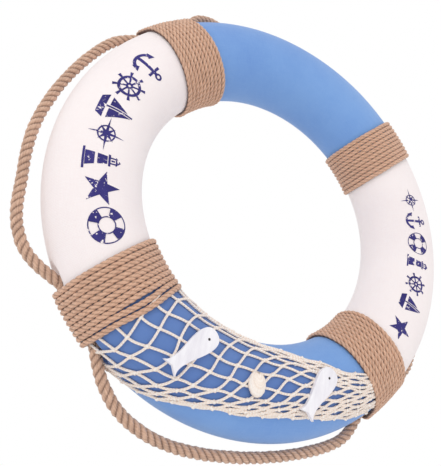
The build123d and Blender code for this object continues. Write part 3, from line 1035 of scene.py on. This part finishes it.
def anchor():
    flukes = arc(0, -0.10, 0.31, 205, 335, 0.09)
    tips = [[(-0.38, -0.10), (-0.20, -0.16), (-0.31, -0.34)], [(0.38, -0.10), (0.20, -0.16), (0.31, -0.34)]]
    shank = [bar(0, 0.30, 0, -0.42, 0.10), bar(-0.22, 0.20, 0.22, 0.20, 0.08)]
    return [*shank, *arc(0, 0.39, 0.08, 0, 360, 0.06), *flukes, *tips]


def compass_star():
    return [*rays(16, [0.5, 0.10, 0.28, 0.10]), *arc(0, 0, 0.22, 0, 360, 0.04, 32)]


def ships_wheel():
    spokes = []
    for k in range(8):
        turn = math.radians(45 * k + 22.5)
        x, y = math.cos(turn), math.sin(turn)
        spokes.append(bar(0.07 * x, 0.07 * y, 0.34 * x, 0.34 * y, 0.05))
        spokes.append(bar(0.34 * x, 0.34 * y, 0.46 * x, 0.46 * y, 0.06, 0.09))
    return [*spokes, *arc(0, 0, 0.29, 0, 360, 0.08, 32), *arc(0, 0, 0.07, 0, 360, 0.06)]


def sailing_boat():
    hull = [(-0.36, -0.26), (0.36, -0.26), (0.24, -0.46), (-0.26, -0.46)]
    sails = [[(0.04, 0.46), (0.04, -0.16), (0.34, -0.16)], [(-0.06, 0.34), (-0.06, -0.16), (-0.32, -0.16)]]
    return [hull, *sails, bar(-0.01, 0.5, -0.01, -0.26, 0.05)]


def starfish():
    return rays(10, [0.48, 0.19])


def ring_buoy():
    """A plain ring in eight bands, every other one open."""
    strokes = [*arc(0, 0, 0.45, 0, 360, 0.03, 40), *arc(0, 0, 0.21, 0, 360, 0.03, 40)]
    for k in range(4):
        strokes += arc(0, 0, 0.33, 90 * k + 22, 90 * k + 68, 0.22, 8)
    return strokes


def lighthouse():
    low = [(-0.19, -0.42), (0.19, -0.42), (0.155, -0.18), (-0.155, -0.18)]
    high = [(-0.145, -0.11), (0.145, -0.11), (0.11, 0.14), (-0.11, 0.14)]
    roof = [(-0.14, 0.36), (0.14, 0.36), (0, 0.5)]
    posts = [bar(x, 0.22, x, 0.36, 0.04) for x in (-0.08, 0.08)]
    lamp = bar(0, 0.24, 0, 0.34, 0.05)
    gallery, rock = bar(-0.17, 0.19, 0.17, 0.19, 0.06), bar(-0.28, -0.46, 0.28, -0.46, 0.06)
    return [low, high, roof, *posts, lamp, gallery, rock]


# Ring angles of each white cover's marks.
MARKS = {
    "left": {
        anchor: 154.9,
        ships_wheel: 165.0,
        sailing_boat: 174.5,
        compass_star: 182.8,
        lighthouse: 190.7,
        starfish: 199.0,
        ring_buoy: 209.2,
    },
    "right": {
        compass_star: 22.0,
        anchor: 13.7,
        ring_buoy: 4.9,
        lighthouse: -3.0,
        ships_wheel: -11.3,
        sailing_boat: -19.9,
        starfish: -30.0,
    },
}
MARK_TUBE_ANGLE = {"left": 88.0, "right": 95.0}
MARK_HEIGHT = {"left": 26 * MM, "right": 22 * MM}
MARK_READS = {"left": 1, "right": -1}  # 1 where the marks' tops point to the hole, -1 where away from it
MARK_LIFT = 0.12 * MM
MARK_SLICE = 2 * MM  # a mark is cut this fine, to follow the cloth


def make_mark(name, polygons, ring_angle, tube_angle, height, reads, material):
    """One motif, cut into small faces and laid on the cloth."""
    sheet = bmesh.new()
    for number, polygon in enumerate(polygons):
        corners = [sheet.verts.new((x * height, y * height, number * 0.002 * MM)) for x, y in polygon]
        sheet.faces.new(corners)
    bmesh.ops.triangulate(sheet, faces=sheet.faces[:])
    cuts = np.arange(-height / 2, height / 2, MARK_SLICE)
    for direction in (Vector((1, 0, 0)), Vector((0, 1, 0))):
        for cut in cuts:
            everything = sheet.verts[:] + sheet.edges[:] + sheet.faces[:]
            bmesh.ops.bisect_plane(sheet, geom=everything, plane_co=direction * cut, plane_no=direction)
    flat = np.array([v.co for v in sheet.verts])
    sheet.verts.index_update()
    faces = [[v.index for v in f.verts] for f in sheet.faces]
    sheet.free()
    ring = ring_angle + reads * np.degrees(flat[:, 0] / RING_RADIUS)
    tube = tube_angle + reads * np.degrees(flat[:, 1] / HALF_WIDTH)
    place, _ = on_tube(ring, tube, MARK_LIFT + flat[:, 2])
    piece = new_piece(name, place, faces, material)
    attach(piece, "ring")


def make_marks():
    print_ink = ink(WHITE_CLOTH)
    for cover, marks in MARKS.items():
        for motif, ring_angle in marks.items():
            name = f"mark_{cover}_{motif.__name__}"
            place = (ring_angle, MARK_TUBE_ANGLE[cover], MARK_HEIGHT[cover])
            make_mark(name, motif(), *place, MARK_READS[cover], print_ink)


make_marks()
make_shell()
# The eyes are dark domes of painted shade set in the fish's drilled holes.
eye_shade = eye_hole_shade_material()
for side in FISH_PLACES:
    make_eye(side, eye_shade)

# ---- materials of the CAD nodes that show as they are ------------------------------------------


def paint(nodes, material):
    for node in nodes:
        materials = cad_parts[node].data.materials
        materials.clear()
        materials.append(material)


paint(["fish_left", "fish_right"], painted_wood())
paint(["glue_fish_left", "glue_fish_right", "glue_shell"], hot_glue())
paint(["foam_core"], foam())

# ---- floor, light and sky ----------------------------------------------------------------------

FLOOR_Z = -0.62


def make_floor():
    """A round pale floor."""
    verts, faces = [(0, 0, FLOOR_Z)], []
    sides, reach = 96, 1.6
    for side in range(sides):
        turn = 2 * math.pi * side / sides
        verts.append((reach * math.cos(turn), reach * math.sin(turn), FLOOR_Z))
    for side in range(sides):
        faces.append((0, 1 + side, 1 + (side + 1) % sides))
    new_piece("floor", verts, faces, floor_paint())


def area_light(name, place, target, size, power):
    data = bpy.data.lights.new(name, "AREA")
    data.shape = "DISK"
    data.size = size
    data.energy = power
    light = bpy.data.objects.new(name, data)
    light.location = place
    light.rotation_mode = "QUATERNION"
    light.rotation_quaternion = (Vector(target) - Vector(place)).to_track_quat("-Z", "Y")
    bpy.context.scene.collection.objects.link(light)


SKY_LIGHT = 0.84


def make_sky():
    """White all round: pure white to the camera, a little dimmer as light."""
    world = bpy.data.worlds.new("studio")
    world.use_nodes = True
    tree = world.node_tree
    background = tree.nodes["Background"]
    background.inputs["Color"].default_value = (1, 1, 1, 1)
    path = tree.nodes.new("ShaderNodeLightPath")
    strength = tree.nodes.new("ShaderNodeMix")
    strength.inputs[2].default_value = SKY_LIGHT
    strength.inputs[3].default_value = 1.0
    tree.links.new(path.outputs["Is Camera Ray"], strength.inputs[0])
    tree.links.new(strength.outputs[0], background.inputs["Strength"])
    bpy.context.scene.world = world


make_floor()
make_sky()
area_light("key", (-0.9, -1.3, 0.9), CENTRE, 0.9, 4.5)
area_light("fill", (1.2, -1.0, 0.1), CENTRE, 1.0, 1.2)
area_light("low", (-1.1, -0.9, -0.45), CENTRE, 1.0, 1.8)
bpy.context.scene.view_settings.view_transform = "Standard"
